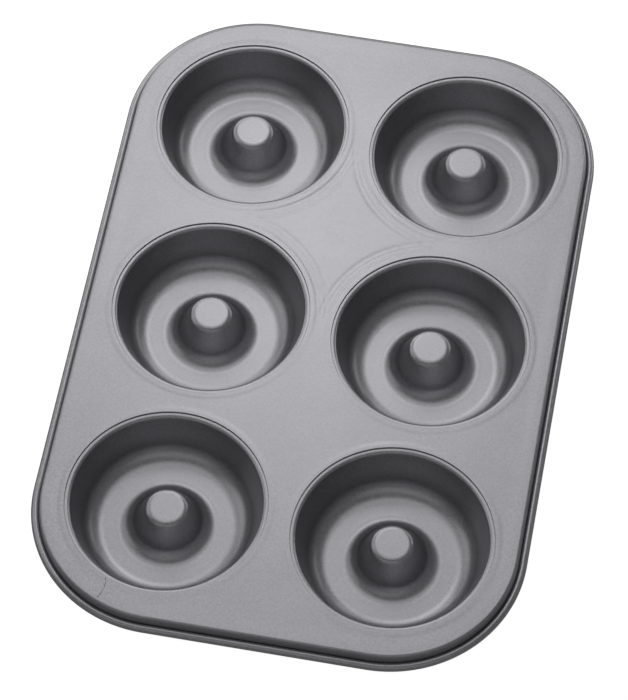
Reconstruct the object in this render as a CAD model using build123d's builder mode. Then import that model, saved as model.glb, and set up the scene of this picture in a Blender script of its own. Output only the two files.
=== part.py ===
from build123d import *
import os
from math import cos, radians, sin, tan

# A six-cavity ring-cake pan in coated sheet steel, lying on its cup bottoms.
# Millimetres, +Z up, +Y along the pan's long side. The origin is on the surface
# that the pan stands on, under the middle of the deck.

# Sheet and overall heights
sheet = 0.6
cavity_depth = 21.0
deck_top = cavity_depth + sheet

# Layout of the cups: two across, three along
pitch = 93.75

# Lap joint: each cup's flat flange lies against the deck's underside, round its hole
hole_radius = 41.65
hole_edge_radius = 0.28
flange_radius = 45.0
coating_gap = 0.03
lip_top = deck_top - sheet - coating_gap

# Cavity surface of a cup: lip, tapered wall, ring-shaped floor and centre post
lip_bend_radius = 1.6
wall_draft = 18.2
floor_outer_radius = 27.0
wall_bend_radius = 8.3
post_bend_radius = 6.7
post_draft = 23.9
post_drop = 5.1
post_flat_radius = 6.5
post_edge_radius = 3.1

# Outer edge: a short flared skirt that ends in a bead rolled round a wire
bead_half_width = 100.55
bead_half_length = 149.1
bead_corner_radius = 55.0
bead_drop = 5.6
bead_inner_radius = 1.2
bead_wrap = 304.0
wire_radius = 1.15
skirt_draft = 9.5
skirt_bend_radius = 1.0
plate_inset = 4.5
plate_overlap = 0.5

os.makedirs("parts", exist_ok=True)

cup_centres = {
    "cup_back_left": (-pitch / 2, pitch),
    "cup_back_right": (pitch / 2, pitch),
    "cup_middle_left": (-pitch / 2, 0),
    "cup_middle_right": (pitch / 2, 0),
    "cup_front_left": (-pitch / 2, -pitch),
    "cup_front_right": (pitch / 2, -pitch),
}


def bend_setback(radius, draft):
    """How far a bend's tangent point lies from the corner of a flat and a drafted wall."""
    return radius * tan(radians(90 - draft) / 2)


def section_plane(x, y):
    """Upright plane through a vertical axis: its X is the radius, its Y the height."""
    return Plane(origin=(x, y, 0), x_dir=(1, 0, 0), z_dir=(0, -1, 0))


def cup_corners():
    """Corners of the upper surface from the post's centre out to the flange's edge."""
    post_top = deck_top - post_drop
    post_shoulder = post_flat_radius + bend_setback(post_edge_radius, post_draft)
    post_foot = post_shoulder + (post_top - sheet) * tan(radians(post_draft))
    wall_foot = floor_outer_radius + bend_setback(wall_bend_radius, wall_draft)
    wall_head = wall_foot + (lip_top - sheet) * tan(radians(wall_draft))
    return [
        (0, post_top),
        (post_shoulder, post_top),
        (post_foot, sheet),
        (wall_foot, sheet),
        (wall_head, lip_top),
        (flange_radius, lip_top),
    ]


def make_cup(name, x, y):
    """One drawn cup with the flange that hangs it under the deck."""
    with BuildPart() as cup:
        with BuildSketch(section_plane(x, y)):
            with BuildLine():
                FilletPolyline(
                    *cup_corners(),
                    radius=[
                        post_edge_radius,
                        post_bend_radius,
                        wall_bend_radius,
                        lip_bend_radius,
                    ],
                )
                offset(amount=sheet, side=Side.RIGHT)
            make_face()
        revolve(axis=Axis((x, y, 0), (0, 0, 1)))
    cup.part.label = name
    export_step(cup.part, f"parts/{name}.step")


def bead_path():
    """Closed centre line of the rolled bead, from the middle of the right-hand side."""
    straight_x = bead_half_width - bead_corner_radius
    straight_y = bead_half_length - bead_corner_radius
    with BuildLine(Plane.XY.offset(deck_top - bead_drop)) as path:
        Line((bead_half_width, 0), (bead_half_width, straight_y))
        CenterArc((straight_x, straight_y), bead_corner_radius, 0, 90)
        Line((straight_x, bead_half_length), (-straight_x, bead_half_length))
        CenterArc((-straight_x, straight_y), bead_corner_radius, 90, 90)
        Line((-bead_half_width, straight_y), (-bead_half_width, -straight_y))
        CenterArc((-straight_x, -straight_y), bead_corner_radius, 180, 90)
        Line((-straight_x, -bead_half_length), (straight_x, -bead_half_length))
        CenterArc((straight_x, -straight_y), bead_corner_radius, 270, 90)
        Line((bead_half_width, -straight_y), (bead_half_width, 0))
    return path.line


# Deck: flat plate with six round holes, skirt and rolled bead, all one pressing
with BuildPart() as deck:
    plate_margin = plate_inset - plate_overlap
    with BuildSketch(Plane.XY.offset(deck_top - sheet)):
        RectangleRounded(
            2 * (bead_half_width - plate_margin),
            2 * (bead_half_length - plate_margin),
            bead_corner_radius - plate_margin,
        )
        with GridLocations(pitch, pitch, 2, 3):
            Circle(hole_radius, mode=Mode.SUBTRACT)
    extrude(amount=sheet)
    hole_edges = deck.edges().filter_by(GeomType.CIRCLE).filter_by(lambda e: e.radius < flange_radius)
    fillet(hole_edges, hole_edge_radius)
    bead_height = deck_top - bead_drop
    tangent_angle = radians(180 + skirt_draft)
    skirt_foot = (
        bead_half_width + bead_inner_radius * cos(tangent_angle),
        bead_height + bead_inner_radius * sin(tangent_angle),
    )
    skirt_run = (deck_top - skirt_foot[1]) * tan(radians(skirt_draft))
    with BuildSketch(section_plane(0, 0)):
        with BuildLine():
            FilletPolyline(
                (bead_half_width - plate_inset, deck_top),
                (skirt_foot[0] - skirt_run, deck_top),
                skirt_foot,
                radius=skirt_bend_radius,
            )
            CenterArc(
                (bead_half_width, bead_height),
                bead_inner_radius,
                180 + skirt_draft,
                bead_wrap,
            )
            offset(amount=sheet, side=Side.RIGHT)
        make_face()
    sweep(path=bead_path())
deck.part.label = "deck"
export_step(deck.part, "parts/deck.step")

for cup_name, (cup_x, cup_y) in cup_centres.items():
    make_cup(cup_name, cup_x, cup_y)

# Closed steel wire that the bead is rolled round
with BuildPart() as rim_wire:
    with BuildSketch(section_plane(0, 0)):
        with Locations((bead_half_width, deck_top - bead_drop)):
            Circle(wire_radius)
    sweep(path=bead_path())
rim_wire.part.label = "rim_wire"
export_step(rim_wire.part, "parts/rim_wire.step")
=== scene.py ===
import math

import bpy
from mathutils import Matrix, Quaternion, Vector, noise


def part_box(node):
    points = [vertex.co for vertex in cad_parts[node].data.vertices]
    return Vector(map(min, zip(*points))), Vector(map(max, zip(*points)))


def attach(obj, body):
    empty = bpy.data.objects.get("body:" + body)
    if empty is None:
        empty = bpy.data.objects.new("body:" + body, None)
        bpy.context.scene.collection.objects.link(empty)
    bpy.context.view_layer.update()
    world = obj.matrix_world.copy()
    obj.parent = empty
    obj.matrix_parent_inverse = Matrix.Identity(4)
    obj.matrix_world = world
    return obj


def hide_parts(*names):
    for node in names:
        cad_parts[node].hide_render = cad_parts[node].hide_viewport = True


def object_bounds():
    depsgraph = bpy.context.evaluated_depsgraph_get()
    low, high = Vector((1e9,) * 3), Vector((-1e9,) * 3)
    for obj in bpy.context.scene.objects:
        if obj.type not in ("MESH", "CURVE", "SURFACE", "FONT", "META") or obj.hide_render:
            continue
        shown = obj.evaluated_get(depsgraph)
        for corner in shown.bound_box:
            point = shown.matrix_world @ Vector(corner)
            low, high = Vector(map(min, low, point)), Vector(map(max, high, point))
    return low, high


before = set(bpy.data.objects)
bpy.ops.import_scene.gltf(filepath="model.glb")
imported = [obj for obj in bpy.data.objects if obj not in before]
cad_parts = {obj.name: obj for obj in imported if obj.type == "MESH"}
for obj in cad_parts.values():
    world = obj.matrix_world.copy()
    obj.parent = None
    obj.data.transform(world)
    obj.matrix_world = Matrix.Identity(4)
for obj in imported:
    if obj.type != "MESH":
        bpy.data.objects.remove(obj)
cad_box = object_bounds()

# A six-cavity ring-cake pan in coated sheet steel. Metres, in the frame of the CAD model.
MM = 0.001

# Sheet and section sizes, the same as the CAD model's
SHEET = 0.6 * MM
HOLE_RADIUS = 41.65 * MM
HOLE_EDGE_RADIUS = 0.28 * MM
COATING_GAP = 0.03 * MM
LIP_BEND_RADIUS = 1.6 * MM
WALL_DRAFT = math.radians(18.2)
FLOOR_OUTER_RADIUS = 27.0 * MM
WALL_BEND_RADIUS = 8.3 * MM
POST_BEND_RADIUS = 6.7 * MM
POST_DRAFT = math.radians(23.9)
POST_DROP = 5.1 * MM
POST_FLAT_RADIUS = 6.5 * MM
POST_EDGE_RADIUS = 3.1 * MM
BEAD_DROP = 5.6 * MM
BEAD_INNER_RADIUS = 1.2 * MM
BEAD_WRAP = math.radians(304.0)
BEAD_CORNER_RADIUS = 55.0 * MM
SKIRT_DRAFT = math.radians(9.5)
SKIRT_BEND_RADIUS = 1.0 * MM
PLATE_INSET = 4.5 * MM

# Stamping rings pressed into the deck round the cups, deepest between the four rear ones, and
# the deck's slow waves
RING_RADII = (44.6 * MM, 46.4 * MM, 48.3 * MM)
RING_DEPTH = 0.12 * MM
RING_WIDTH = 0.8 * MM
RING_REACH = 62.0 * MM
WAVE_DEPTH = 0.05 * MM
WAVE_LENGTH = 38.0 * MM
SAG_FADE = 2.0 * MM
EDGE_FADE = 6.0 * MM

# Raised crease in a cup's floor, round the foot of the post
CREASE_RADIUS = 20.9 * MM
CREASE_HEIGHT = 0.025 * MM
CREASE_WIDTH = 0.7 * MM

# The coating: metallic grain, draw lines in the cups, and one hairline crack in the deck's coat
GRAIN_CONTRAST = 0.15
GRAIN_HEIGHT = 0.006 * MM
COAT_ROUGHNESS = (0.30, 0.40)
DRAW_HEIGHT = 0.008 * MM
DRAW_LENGTH = 4.0 * MM
SECTION_ATTRIBUTE = "section"
CRACK_CENTRE = Vector((-75.05, -134.8)) * MM
CRACK_RADIUS = 11.55 * MM
CRACK_REACH = 7.0 * MM
CRACK_WIDTH = 0.26 * MM
CRACK_WANDER = 2.2 * MM
CRACK_SHADE = 0.35

# Colours of the coating and of the wire, and the size of their noise
COAT_DARK = (0.319, 0.316, 0.333, 1)
COAT_LIGHT = (0.331, 0.328, 0.344, 1)
CLOUD_RANGE = (0.35, 0.65)
CLOUD_SCALE = 45.0
GRAIN_RANGE = (0.3, 0.7)
GRAIN_SCALE = 1100.0
DRAW_SCALE = 620.0
CRACK_SCALE = 420.0
CRACK_TAPER = 0.9
WIRE_COLOUR = (0.5, 0.5, 0.5, 1)
WIRE_ROUGHNESS = (0.25, 0.5)
WIRE_SCALE = 900.0

# Fineness of the meshes
CUP_SEGMENTS = 240
CELL_STEP = math.radians(1.5)
TOP_RINGS = 64
UNDER_RINGS = 6
RUN_STEP = 0.5 * MM
BEND_STEP = math.radians(9.0)
WELD = 0.5e-6
REACH_STEPS = 48
ALONG_WALL = 1e-9
SHARP_EDGE = math.radians(40.0)

# Camera: where it looks, from which side, how high, how far off, and its roll
CAMERA_TARGET = (-0.36 * MM, -12.91 * MM)
CAMERA_AZIMUTH = math.radians(10.637)
CAMERA_ELEVATION = math.radians(59.987)
CAMERA_ROLL = math.radians(-0.297)
CAMERA_DISTANCE = 1.4719
CAMERA_LENS = 181.01
CAMERA_SENSOR = 36.0
CAMERA_CLIP_END = 60.0

# Studio: floor, room and lights
FLOOR_HALF = 14.0
FLOOR_COLOUR = (0.3, 0.3, 0.3, 1)
FLOOR_GLOW = 0.95
FLOOR_ROUGHNESS = 0.9
TABLE_GLOW = 0.24
ROOM_GLOW = 0.22
BOX_DISTANCE = 1.1
WHITE = (1, 1, 1, 1)

# Name, azimuth (0 is +X, 90 is +Y), elevation, width, height and radiance of each soft box
SOFT_BOXES = (
    ("key", 106, 53, 0.60, 0.45, 0.95),
    ("key_core", 102, 56, 0.20, 0.20, 3.0),
    ("overhead", 110, 80, 0.90, 0.60, 0.7),
    ("back", 100, 30, 1.10, 0.45, 1.1),
    ("low_left", 135, 12, 0.60, 0.40, 1.8),
    ("low_right", 50, 12, 0.60, 0.40, 1.5),
    ("left", 170, 35, 0.80, 0.80, 0.6),
    ("front", 270, 40, 1.60, 0.60, 0.25),
)

# Sizes read from the frame
PAN_HIGH = Vector(cad_box[1])
DECK_TOP = PAN_HIGH.z
BEAD_HALF_WIDTH = PAN_HIGH.x - BEAD_INNER_RADIUS - SHEET
BEAD_HALF_LENGTH = PAN_HIGH.y - BEAD_INNER_RADIUS - SHEET
CUP_NODES = sorted(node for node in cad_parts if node.startswith("cup_"))


def cup_centre(node):
    low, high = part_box(node)
    return Vector(((low.x + high.x) / 2, (low.y + high.y) / 2))


CUP_CENTRES = {node: cup_centre(node) for node in CUP_NODES}
FLANGE_RADIUS = (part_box(CUP_NODES[0])[1].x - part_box(CUP_NODES[0])[0].x) / 2
ROW_PITCH = CUP_CENTRES["cup_back_left"].y - CUP_CENTRES["cup_middle_left"].y
RING_SPOT = Vector((0, ROW_PITCH / 2))


# ---------------------------------------------------------------- section lines


def left_of(way):
    return Vector((-way.y, way.x))


def turned(v, angle):
    c, s = math.cos(angle), math.sin(angle)
    return Vector((v.x * c - v.y * s, v.x * s + v.y * c))


def bend_setback(radius, draft):
    """How far a bend's tangent point lies from the corner of a flat and a drafted wall."""
    return radius * math.tan((math.pi / 2 - draft) / 2)


def straight_run(a, b):
    """Points from a to b, both included, each with the normal on the left of the way."""
    count = max(1, round((b - a).length / RUN_STEP))
    normal = left_of((b - a).normalized())
    return [(a.lerp(b, k / count), normal) for k in range(count + 1)]


def arc_run(centre, radius, normal, turn):
    """Points round a bend that turns left by a positive angle, from the left-hand normal given."""
    side = math.copysign(1.0, turn)
    count = max(3, math.ceil(abs(turn) / BEND_STEP))
    normals = [turned(normal, turn * k / count) for k in range(count + 1)]
    return [(centre - n * side * radius, n) for n in normals]


def bent_line(corners, radii):
    """Straight runs joined by tangent bends, as pairs of a point and its left-hand normal."""
    corners = [Vector(c) for c in corners]
    line = []
    start = corners[0]
    for before, corner, after, radius in zip(corners, corners[1:], corners[2:], radii):
        into, away = (corner - before).normalized(), (after - corner).normalized()
        turn = math.atan2(into.cross(away), into.dot(away))
        setback = radius * math.tan(abs(turn) / 2)
        first = corner - into * setback
        line += straight_run(start, first)[:-1]
        if radius:
            centre = first + left_of(into) * math.copysign(radius, turn)
            line += arc_run(centre, radius, left_of(into), turn)[:-1]
        start = corner + away * setback
    return line + straight_run(start, corners[-1])


def sheet_loop(line, offset):
    """The sheet's face along a line, then its other face on the way back."""
    return [p for p, _ in line] + [p + n * offset for p, n in reversed(line)]


def cup_line():
    """Upper surface of a cup, from the post's centre out to the flange's edge."""
    post_top = DECK_TOP - POST_DROP
    lip_top = DECK_TOP - SHEET - COATING_GAP
    post_shoulder = POST_FLAT_RADIUS + bend_setback(POST_EDGE_RADIUS, POST_DRAFT)
    post_foot = post_shoulder + (post_top - SHEET) * math.tan(POST_DRAFT)
    wall_foot = FLOOR_OUTER_RADIUS + bend_setback(WALL_BEND_RADIUS, WALL_DRAFT)
    wall_head = wall_foot + (lip_top - SHEET) * math.tan(WALL_DRAFT)
    corners = [
        (0, post_top),
        (post_shoulder, post_top),
        (post_foot, SHEET),
        (wall_foot, SHEET),
        (wall_head, lip_top),
        (FLANGE_RADIUS, lip_top),
    ]
    radii = [POST_EDGE_RADIUS, POST_BEND_RADIUS, WALL_BEND_RADIUS, LIP_BEND_RADIUS]
    return bent_line(corners, radii)


def hole_loop():
    """The deck's edge at a hole, from its top face down to its underside."""
    corners = [
        (HOLE_RADIUS + HOLE_EDGE_RADIUS, DECK_TOP),
        (HOLE_RADIUS, DECK_TOP),
        (HOLE_RADIUS, DECK_TOP - SHEET),
        (HOLE_RADIUS + HOLE_EDGE_RADIUS, DECK_TOP - SHEET),
    ]
    return [p for p, _ in bent_line(corners, [HOLE_EDGE_RADIUS, HOLE_EDGE_RADIUS])]


def rim_line():
    """Top face of the deck's edge: over the skirt, then round inside the bead, whose centre has X 0."""
    centre = Vector((0, DECK_TOP - BEAD_DROP))
    inward = turned(Vector((1, 0)), SKIRT_DRAFT)
    skirt_foot = centre - inward * BEAD_INNER_RADIUS
    skirt_head = skirt_foot.x - (DECK_TOP - skirt_foot.y) * math.tan(SKIRT_DRAFT)
    corners = [(-PLATE_INSET, DECK_TOP), (skirt_head, DECK_TOP), skirt_foot]
    curl = arc_run(centre, BEAD_INNER_RADIUS, inward, BEAD_WRAP)
    return bent_line(corners, [SKIRT_BEND_RADIUS])[:-1] + curl


# ---------------------------------------------------------------- deck outline and cells


def outline_distance(p):
    """Distance outside the flat plate's rounded outline; negative inside."""
    radius = BEAD_CORNER_RADIUS - PLATE_INSET
    qx = abs(p.x) - (BEAD_HALF_WIDTH - BEAD_CORNER_RADIUS)
    qy = abs(p.y) - (BEAD_HALF_LENGTH - BEAD_CORNER_RADIUS)
    return min(max(qx, qy), 0) + math.hypot(max(qx, 0), max(qy, 0)) - radius


def outline_normal(p):
    qx = abs(p.x) - (BEAD_HALF_WIDTH - BEAD_CORNER_RADIUS)
    qy = abs(p.y) - (BEAD_HALF_LENGTH - BEAD_CORNER_RADIUS)
    if qx > 0 and qy > 0:
        n = Vector((qx, qy))
    else:
        n = Vector((1, 0)) if qx > qy else Vector((0, 1))
    n.normalize()
    return Vector((math.copysign(n.x, p.x), math.copysign(n.y, p.y)))


def has_neighbour(centre, side):
    """Whether another cup lies beyond this one: up the pan for 1, down it for -1."""
    return abs(centre.y + side * ROW_PITCH) < 1.5 * ROW_PITCH


def cell_walls(centre):
    """The straight walls that a cup's cell shares with its neighbours, as (point, outward way)."""
    walls = [(Vector((0, 0)), Vector((-math.copysign(1, centre.x), 0)))]
    for side in (-1, 1):
        if has_neighbour(centre, side):
            middle = centre + Vector((0, side * ROW_PITCH / 2))
            walls.append((middle, Vector((0, side))))
    return walls


def cell_reach(centre, angle):
    """How far a cup's cell reaches from the cup's centre along a direction."""
    way = Vector((math.cos(angle), math.sin(angle)))
    low, high = 0.0, BEAD_HALF_LENGTH
    for _ in range(REACH_STEPS):
        middle = (low + high) / 2
        if outline_distance(centre + way * middle) < 0:
            low = middle
        else:
            high = middle
    reach = low
    for point, outward in cell_walls(centre):
        if way.dot(outward) > ALONG_WALL:
            reach = min(reach, (point - centre).dot(outward) / way.dot(outward))
    return reach


def cell_angles(centre):
    """Directions from a cup's centre that split its cell's sides evenly and meet every corner."""
    side = math.copysign(1, centre.x)
    edge_x = side * (BEAD_HALF_WIDTH - PLATE_INSET)
    edge_y = BEAD_HALF_LENGTH - PLATE_INSET
    corners = []
    for up in (-1, 1):
        inner = has_neighbour(centre, up)
        corners.append(Vector((0, centre.y + up * ROW_PITCH / 2 if inner else up * edge_y)))
        if inner:
            corners.append(Vector((edge_x, centre.y + up * ROW_PITCH / 2)))
    turns = sorted(math.atan2((c - centre).y, (c - centre).x) % math.tau for c in corners)
    angles = []
    for a, b in zip(turns, turns[1:] + [turns[0] + math.tau]):
        count = round((b - a) / CELL_STEP)
        angles += [a + (b - a) * k / count for k in range(count)]
    return angles


# ---------------------------------------------------------------- mesh building


class Shell:
    """Vertices and faces gathered from patches, then welded into one mesh."""

    def __init__(self):
        self.verts = []
        self.faces = []

    def grid(self, rows, closed, flip=False):
        """A patch of quads between rows of points; closed joins each row's ends."""
        base = len(self.verts)
        width = len(rows[0])
        for row in rows:
            self.verts.extend(row)
        for i in range(len(rows) - 1):
            for j in range(width if closed else width - 1):
                a, b = base + i * width + j, base + i * width + (j + 1) % width
                quad = (a, b, b + width, a + width)
                self.faces.append(quad[::-1] if flip else quad)

    def object(self, name):
        mesh = bpy.data.meshes.new(name)
        mesh.from_pydata([tuple(v) for v in self.verts], [], self.faces)
        piece = bpy.data.objects.new(name, mesh)
        bpy.context.scene.collection.objects.link(piece)
        bpy.context.view_layer.objects.active = piece
        weld = piece.modifiers.new("weld", "WELD")
        weld.merge_threshold = WELD
        depsgraph = bpy.context.evaluated_depsgraph_get()
        welded = bpy.data.meshes.new_from_object(piece.evaluated_get(depsgraph))
        piece.modifiers.clear()
        piece.data = welded
        welded.validate()
        welded.polygons.foreach_set("use_smooth", [True] * len(welded.polygons))
        welded.set_sharp_from_angle(angle=SHARP_EDGE)
        return piece


def ring_points(centre, radius, z, angles):
    return [
        Vector((centre.x + radius * math.cos(a), centre.y + radius * math.sin(a), z))
        for a in angles
    ]


def even_angles(count):
    return [math.tau * k / count for k in range(count)]


def crease(p):
    """Height of the crease in the sheet of a cup's floor, at a point of the section."""
    return CREASE_HEIGHT * math.exp(-(((p.x - CREASE_RADIUS) / CREASE_WIDTH) ** 2))


def make_cup(node):
    """One drawn cup as a closed sheet, turned about its own axis."""
    centre = CUP_CENTRES[node]
    shell = Shell()
    angles = even_angles(CUP_SEGMENTS)
    section_points = sheet_loop(cup_line(), -SHEET)
    rows = [ring_points(centre, p.x, p.y + crease(p), angles) for p in section_points]
    shell.grid(rows, closed=True, flip=True)
    cup = shell.object(node + "_shell")
    section = cup.data.attributes.new(SECTION_ATTRIBUTE, "FLOAT_VECTOR", "POINT")
    for vertex, place in zip(cup.data.vertices, section.data):
        away = vertex.co.xy - centre
        around = math.atan2(away.y, away.x) / math.tau
        place.vector = (away.length, vertex.co.z, abs(around) * DRAW_LENGTH)
    return cup


def smooth_step(t):
    t = min(max(t, 0.0), 1.0)
    return t * t * (3 - 2 * t)


def deck_sag(p):
    """How far the deck's sheet lies below true, from stamping rings round the cups and slow waves."""
    here = Vector((p.x, p.y))
    away = [(here - centre).length for centre in CUP_CENTRES.values()]
    rings = sum(
        RING_DEPTH * math.exp(-(((a - radius) / RING_WIDTH) ** 2))
        for a in away
        for radius in RING_RADII
    )
    rings *= 1 - smooth_step((here - RING_SPOT).length / RING_REACH)
    wave = WAVE_DEPTH * (1 + noise.noise(Vector((p.x, p.y, 0)) / WAVE_LENGTH))
    fade = smooth_step((min(away) - FLANGE_RADIUS + SAG_FADE) / SAG_FADE)
    return (rings + wave) * fade * smooth_step(-outline_distance(here) / EDGE_FADE)


def sagged(points):
    return [Vector((p.x, p.y, p.z - deck_sag(p))) for p in points]


def make_deck():
    """Plate with six holes, skirt and rolled bead, as one closed sheet."""
    shell = Shell()
    outline = {}
    hole = HOLE_RADIUS + HOLE_EDGE_RADIUS
    for centre in CUP_CENTRES.values():
        angles = cell_angles(centre)
        reaches = [cell_reach(centre, a) for a in angles]
        faces = ((TOP_RINGS, DECK_TOP, True), (UNDER_RINGS, DECK_TOP - SHEET, False))
        for rings, z, flip in faces:
            rows = []
            for k in range(rings + 1):
                row = []
                for a, reach in zip(angles, reaches):
                    r = hole + (reach - hole) * k / rings
                    row.append(Vector((centre.x + r * math.cos(a), centre.y + r * math.sin(a), z)))
                rows.append(sagged(row))
            shell.grid(rows, closed=True, flip=flip)
        rows = [sagged(ring_points(centre, p.x, p.y, angles)) for p in hole_loop()]
        shell.grid(rows, closed=True, flip=False)
        for a, reach in zip(angles, reaches):
            p = centre + Vector((math.cos(a), math.sin(a))) * reach
            if outline_distance(p) > -WELD:
                outline[(round(p.x, 7), round(p.y, 7))] = p
    edge = sorted(outline.values(), key=lambda p: math.atan2(p.y, p.x))
    rows = []
    for q in sheet_loop(rim_line(), -SHEET):
        reach = q.x + PLATE_INSET
        rows.append(sagged([
            Vector((p.x + outline_normal(p).x * reach, p.y + outline_normal(p).y * reach, q.y))
            for p in edge
        ]))
    shell.grid(rows, closed=True, flip=True)
    return shell.object("deck_shell")


# ---------------------------------------------------------------- materials


def node(tree, kind, **inputs):
    """A shader node with its sockets set: a value, or another node's output."""
    made = tree.nodes.new(kind)
    for name, value in inputs.items():
        socket = made.inputs[name.replace("_", " ")]
        if isinstance(value, bpy.types.NodeSocket):
            tree.links.new(value, socket)
        else:
            socket.default_value = value
    return made


def fresh_material(name):
    material = bpy.data.materials.new(name)
    material.use_nodes = True
    material.node_tree.nodes.clear()
    return material, material.node_tree


def arithmetic(tree, operation, a, b=0.0):
    """A math node's output; a and b are values or other nodes' outputs."""
    made = tree.nodes.new("ShaderNodeMath")
    made.operation = operation
    for socket, value in zip(made.inputs, (a, b)):
        if isinstance(value, bpy.types.NodeSocket):
            tree.links.new(value, socket)
        else:
            socket.default_value = value
    return made.outputs[0]


def remap(tree, value, from_low, from_high, to_low, to_high):
    """A value carried from one range to another and held inside it."""
    made = node(
        tree,
        "ShaderNodeMapRange",
        Value=value,
        From_Min=from_low,
        From_Max=from_high,
        To_Min=to_low,
        To_Max=to_high,
    )
    return made.outputs["Result"]


def crack_mask(tree, place):
    """1 along the hairline crack in the coating beside the front left cup, 0 elsewhere."""
    split = node(tree, "ShaderNodeSeparateXYZ", Vector=place)
    across = arithmetic(tree, "SUBTRACT", split.outputs["X"], CRACK_CENTRE.x)
    along = arithmetic(tree, "SUBTRACT", split.outputs["Y"], CRACK_CENTRE.y)
    squares = [arithmetic(tree, "MULTIPLY", v, v) for v in (across, along)]
    reach = arithmetic(tree, "SQRT", arithmetic(tree, "ADD", *squares))
    wander = node(tree, "ShaderNodeTexNoise", Vector=place, Scale=CRACK_SCALE, Detail=2.0)
    wander = wander.outputs["Fac"]
    wander = arithmetic(tree, "MULTIPLY", arithmetic(tree, "SUBTRACT", wander, 0.5), CRACK_WANDER)
    off = arithmetic(tree, "SUBTRACT", arithmetic(tree, "ADD", reach, wander), CRACK_RADIUS)
    line = remap(tree, arithmetic(tree, "ABSOLUTE", off), CRACK_WIDTH / 4, CRACK_WIDTH, 1.0, 0.0)
    along = arithmetic(tree, "ABSOLUTE", along)
    half_length = remap(tree, along, CRACK_REACH * CRACK_TAPER, CRACK_REACH, 1.0, 0.0)
    side = arithmetic(tree, "GREATER_THAN", across, 0.0)
    return arithmetic(tree, "MULTIPLY", arithmetic(tree, "MULTIPLY", line, half_length), side)


def coated_steel(name, cracked=False, drawn=False):
    """Satin grey non-stick coating with fine metallic grain over sheet steel."""
    material, tree = fresh_material(name)
    place = node(tree, "ShaderNodeTexCoord").outputs["Object"]
    grain = node(tree, "ShaderNodeTexNoise", Vector=place, Scale=GRAIN_SCALE, Detail=3.0, Roughness=0.6)
    grain = grain.outputs["Fac"]
    cloud = node(
        tree,
        "ShaderNodeTexNoise",
        Vector=place,
        Scale=CLOUD_SCALE,
        Detail=4.0,
        Roughness=0.55,
    )
    tint = node(tree, "ShaderNodeValToRGB", Fac=cloud.outputs["Fac"])
    stops = tint.color_ramp.elements
    for stop, position, stop_colour in zip(stops, CLOUD_RANGE, (COAT_DARK, COAT_LIGHT)):
        stop.position = position
        stop.color = stop_colour
    shade = remap(tree, grain, *GRAIN_RANGE, 1 - GRAIN_CONTRAST, 1 + GRAIN_CONTRAST)
    if cracked:
        crack = crack_mask(tree, place)
        shade = arithmetic(tree, "MULTIPLY", shade, remap(tree, crack, 0.0, 1.0, 1.0, CRACK_SHADE))
    colour = node(tree, "ShaderNodeMix")
    colour.data_type = "RGBA"
    colour.blend_type = "MULTIPLY"
    colour.inputs["Factor"].default_value = 1.0
    tree.links.new(tint.outputs["Color"], colour.inputs["A"])
    tree.links.new(shade, colour.inputs["B"])
    height = arithmetic(tree, "MULTIPLY", grain, GRAIN_HEIGHT)
    if drawn:
        section = node(tree, "ShaderNodeAttribute")
        section.attribute_name = SECTION_ATTRIBUTE
        lines = node(
            tree,
            "ShaderNodeTexNoise",
            Vector=section.outputs["Vector"],
            Scale=DRAW_SCALE,
            Detail=3.0,
        )
        ridges = arithmetic(tree, "MULTIPLY", lines.outputs["Fac"], DRAW_HEIGHT)
        height = arithmetic(tree, "ADD", height, ridges)
    bump = node(tree, "ShaderNodeBump", Height=height, Strength=1.0, Distance=1.0)
    shader = node(
        tree,
        "ShaderNodeBsdfPrincipled",
        Base_Color=colour.outputs["Result"],
        Roughness=remap(tree, grain, *GRAIN_RANGE, *COAT_ROUGHNESS),
        Normal=bump.outputs["Normal"],
        Metallic=1.0,
    )
    output = node(tree, "ShaderNodeOutputMaterial")
    tree.links.new(shader.outputs["BSDF"], output.inputs["Surface"])
    return material


def bright_wire(name):
    """Drawn steel wire."""
    material, tree = fresh_material(name)
    place = node(tree, "ShaderNodeTexCoord").outputs["Object"]
    grain = node(tree, "ShaderNodeTexNoise", Vector=place, Scale=WIRE_SCALE, Detail=4.0)
    rough = remap(tree, grain.outputs["Fac"], 0.0, 1.0, *WIRE_ROUGHNESS)
    shader = node(
        tree,
        "ShaderNodeBsdfPrincipled",
        Base_Color=WIRE_COLOUR,
        Roughness=rough,
        Metallic=1.0,
    )
    output = node(tree, "ShaderNodeOutputMaterial")
    tree.links.new(shader.outputs["BSDF"], output.inputs["Surface"])
    return material


# ---------------------------------------------------------------- pan


def wear(piece, node_name):
    """Put a piece on the pan's one body in place of its CAD node."""
    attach(piece, "root")
    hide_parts(node_name)


deck = make_deck()
deck.data.materials.append(coated_steel("deck_grey", cracked=True))
wear(deck, "deck")
coating = coated_steel("cup_grey", drawn=True)
for cup_node in CUP_NODES:
    cup = make_cup(cup_node)
    cup.data.materials.append(coating)
    wear(cup, cup_node)
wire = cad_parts["rim_wire"]
wire.data.materials.clear()
wire.data.materials.append(bright_wire("wire_steel"))


# ---------------------------------------------------------------- studio


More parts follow.
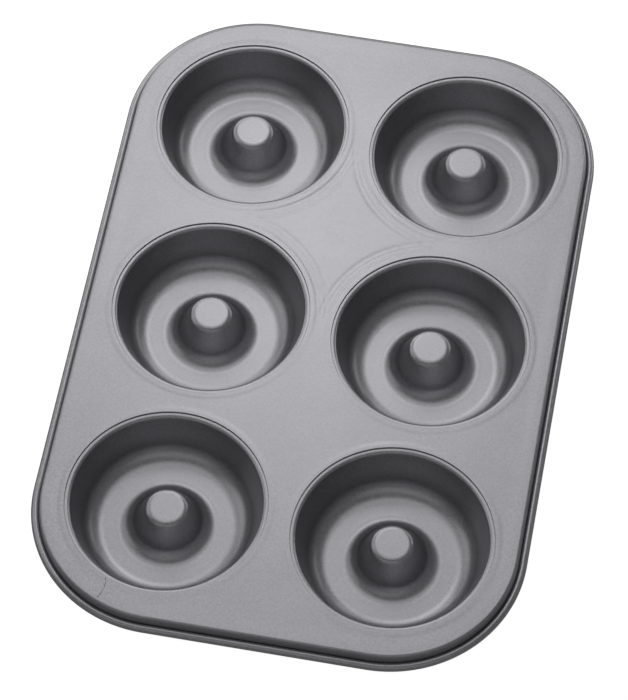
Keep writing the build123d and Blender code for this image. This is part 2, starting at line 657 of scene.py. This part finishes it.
def make_floor():
    """White floor; the pan's metal sees it at the lower brightness of a table outside the lights."""
    mesh = bpy.data.meshes.new("floor")
    corners = [(-FLOOR_HALF, -FLOOR_HALF, 0), (FLOOR_HALF, -FLOOR_HALF, 0)]
    corners += [(FLOOR_HALF, FLOOR_HALF, 0), (-FLOOR_HALF, FLOOR_HALF, 0)]
    mesh.from_pydata(corners, [], [(0, 1, 2, 3)])
    floor = bpy.data.objects.new("floor", mesh)
    bpy.context.scene.collection.objects.link(floor)
    material, tree = fresh_material("pale_floor")
    white = node(
        tree,
        "ShaderNodeBsdfPrincipled",
        Base_Color=FLOOR_COLOUR,
        Roughness=FLOOR_ROUGHNESS,
        Emission_Color=WHITE,
        Emission_Strength=FLOOR_GLOW,
    )
    table = node(tree, "ShaderNodeEmission", Color=WHITE, Strength=TABLE_GLOW)
    mirrored = node(tree, "ShaderNodeLightPath").outputs["Is Glossy Ray"]
    mix = node(tree, "ShaderNodeMixShader", Fac=mirrored)
    tree.links.new(white.outputs["BSDF"], mix.inputs[1])
    tree.links.new(table.outputs[0], mix.inputs[2])
    output = node(tree, "ShaderNodeOutputMaterial")
    tree.links.new(mix.outputs[0], output.inputs["Surface"])
    mesh.materials.append(material)


def make_world():
    world = bpy.data.worlds.new("studio")
    world.use_nodes = True
    tree = world.node_tree
    tree.nodes.clear()
    seen = node(tree, "ShaderNodeLightPath").outputs["Is Camera Ray"]
    dim = node(tree, "ShaderNodeBackground", Color=WHITE, Strength=ROOM_GLOW)
    pale = node(tree, "ShaderNodeBackground", Color=WHITE, Strength=1.0)
    mix = node(tree, "ShaderNodeMixShader", Fac=seen)
    tree.links.new(dim.outputs[0], mix.inputs[1])
    tree.links.new(pale.outputs[0], mix.inputs[2])
    output = node(tree, "ShaderNodeOutputWorld")
    tree.links.new(mix.outputs[0], output.inputs["Surface"])
    bpy.context.scene.world = world


def area_light(name, target, azimuth, elevation, distance, width, height, radiance):
    """A soft box that looks at target from azimuth (0 is +X, 90 is +Y) and elevation, in degrees."""
    a, e = math.radians(azimuth), math.radians(elevation)
    way = Vector((math.cos(a) * math.cos(e), math.sin(a) * math.cos(e), math.sin(e)))
    data = bpy.data.lights.new(name, "AREA")
    data.shape = "RECTANGLE"
    data.size, data.size_y = width, height
    data.energy = radiance * math.pi * width * height
    light = bpy.data.objects.new(name, data)
    light.location = Vector(target) + way * distance
    light.rotation_euler = way.to_track_quat("Z", "Y").to_euler()
    light.visible_camera = False
    bpy.context.scene.collection.objects.link(light)
    return light


def make_camera():
    """Camera in front of the pan, a little to its right, looking steeply down."""
    target = Vector((*CAMERA_TARGET, DECK_TOP))
    back = Vector((
        math.sin(CAMERA_AZIMUTH) * math.cos(CAMERA_ELEVATION),
        -math.cos(CAMERA_AZIMUTH) * math.cos(CAMERA_ELEVATION),
        math.sin(CAMERA_ELEVATION),
    ))
    turn = Quaternion((0, 0, 1), CAMERA_ROLL)
    data = bpy.data.cameras.new("camera")
    data.sensor_width = CAMERA_SENSOR
    data.lens = CAMERA_LENS
    data.clip_end = CAMERA_CLIP_END
    camera = bpy.data.objects.new("camera", data)
    camera.location = target + back * CAMERA_DISTANCE
    camera.rotation_euler = (back.to_track_quat("Z", "Y") @ turn).to_euler()
    bpy.context.scene.collection.objects.link(camera)
    bpy.context.scene.camera = camera


make_floor()
make_world()
for name, azimuth, elevation, width, height, radiance in SOFT_BOXES:
    area_light(name, (0, 0, DECK_TOP), azimuth, elevation, BOX_DISTANCE, width, height, radiance)
make_camera()
bpy.context.scene.view_settings.view_transform = "Standard"
